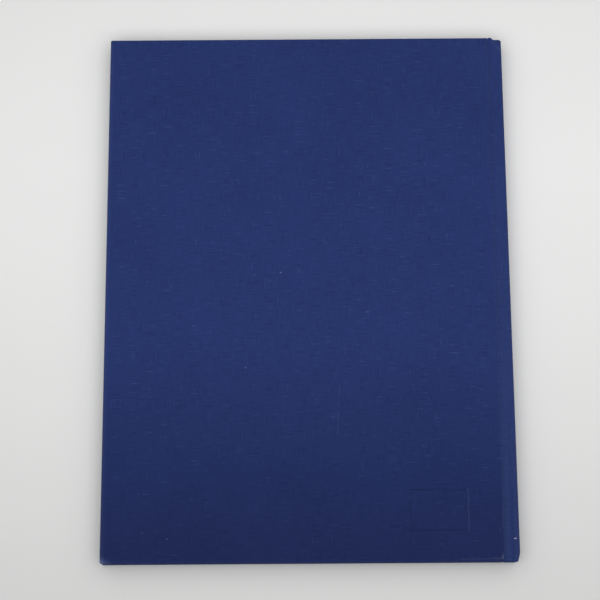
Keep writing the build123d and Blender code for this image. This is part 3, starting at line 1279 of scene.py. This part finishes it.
def paper_hinge():
    """The strip between the fold at the spine and the pasted half, over the turn-ins at head and tail."""
    lie = fly_low.z + paper_thickness
    raised = board_low.z - paper_thickness
    ends = [fly_low.y, -window_half - paper_thickness, -window_half, window_half]
    ends += [window_half + paper_thickness, fly_high.y]
    grid = []
    for y in ends:
        over_turn_in = abs(y) > window_half + paper_thickness / 2
        row = []
        for c in range(hinge_columns + 1):
            x = paste_high.x + (fly_high.x - paste_high.x) * c / hinge_columns
            lift = ease((fly_high.x - hinge_rest - x) / (fly_high.x - hinge_rest - paste_high.x))
            row.append((x, y, lie + (0 if over_turn_in else lift * (raised - lie))))
        grid.append(row)
    return thin_sheet(grid, paper_thickness)


for side in ("back", "front"):
    dress(f"{side}_pastedown", endpaper)
    for name, shape in (("flyleaf_sheet", flyleaf()), ("endpaper_hinge", paper_hinge())):
        points, faces = shape if side == "back" else turned_over(*shape)
        paper = new_piece(f"{side}_{name}", points, faces, endpaper)
        paper.data.shade_smooth()
        paper.data.set_sharp_from_angle(angle=sharp_angle)
        if name == "flyleaf_sheet":
            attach(paper, "book_block")
        else:
            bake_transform(paper)
        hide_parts(f"{side}_flyleaf")

# Studio: a pale floor under the book, a wide soft lamp close above it, a stronger one high over its tail
# and a dim surround. The camera stands where the photograph was taken from, a little towards the tail.
floor_reach = 3.0
# The floor's tones darken towards the tail as painted shade
floor_tones = ((0.86, 0.86, 0.855, 1), (0.74, 0.74, 0.735, 1))
floor_shade_run = (0.08, -0.16)
floor_scale = 6
floor_mottle = 0.02
floor_roughness = 0.7
floor_gloss = 0.2
touch_distance = 2.0 * mm
surround_white = (1, 1, 1, 1)
surround_strength = 0.28
camera_place = (-4.14 * mm, -193.68 * mm, 859.77 * mm)
camera_turn = (12.517, 0.116, -0.376)
camera_lens = 90

# The lamps by name: place, size, power and turn about X in degrees
lamps = (
    ("soft_lamp", (0.06, 0.10, 0.29), (1.0, 0.54), 1.06, 0),
    ("tail_lamp", (0.0, -0.30, 0.75), (1.2, 0.6), 3.2, 25),
)


def pale_floor_material():
    """Smooth pale floor, darker towards the tail by painted shade, and clear from below and where the book
    lies on it.
    """
    material, tree, shader = new_material("pale_floor")
    place = add(tree, "ShaderNodeTexCoord").outputs["Object"]
    split = add(tree, "ShaderNodeSeparateXYZ", {"Vector": place}).outputs
    grade = ranged(tree, split["Y"], floor_shade_run)
    shade_and_mottle = arithmetic(tree, "MULTIPLY_ADD", clouds(tree, place, floor_scale), floor_mottle, grade)
    from_below = add(tree, "ShaderNodeNewGeometry").outputs["Backfacing"]
    travelled = add(tree, "ShaderNodeLightPath").outputs["Ray Length"]
    touched = arithmetic(tree, "LESS_THAN", travelled, touch_distance)
    clear = arithmetic(tree, "MAXIMUM", from_below, touched)
    values = {
        "Base Color": mixed(tree, shade_and_mottle, *floor_tones),
        "Roughness": floor_roughness,
        "Specular IOR Level": floor_gloss,
        "Alpha": arithmetic(tree, "SUBTRACT", 1, clear),
    }
    fill(tree, shader, values)
    return material


floor_corners = [(x * floor_reach, y * floor_reach, 0) for x, y in ((-1, -1), (1, -1), (1, 1), (-1, 1))]
floor = new_piece("floor", floor_corners, [(0, 1, 2, 3)], pale_floor_material())

scene = bpy.context.scene
for lamp_name, lamp_place, lamp_size, lamp_power, lamp_turn in lamps:
    lamp_data = bpy.data.lights.new(lamp_name, "AREA")
    lamp_data.shape = "RECTANGLE"
    lamp_data.size, lamp_data.size_y = lamp_size
    lamp_data.energy = lamp_power
    lamp = bpy.data.objects.new(lamp_name, lamp_data)
    lamp.location = lamp_place
    lamp.rotation_euler = (math.radians(lamp_turn), 0, 0)
    lamp.visible_camera = False
    scene.collection.objects.link(lamp)

world = bpy.data.worlds.new("surround")
world.use_nodes = True
surround = world.node_tree.nodes["Background"]
fill(world.node_tree, surround, {"Color": surround_white, "Strength": surround_strength})
scene.world = world
scene.view_settings.view_transform = "Standard"

camera_data = bpy.data.cameras.new("camera")
camera_data.lens = camera_lens
camera = bpy.data.objects.new("camera", camera_data)
camera.location = camera_place
camera.rotation_euler = [math.radians(turn) for turn in camera_turn]
scene.collection.objects.link(camera)
scene.camera = camera
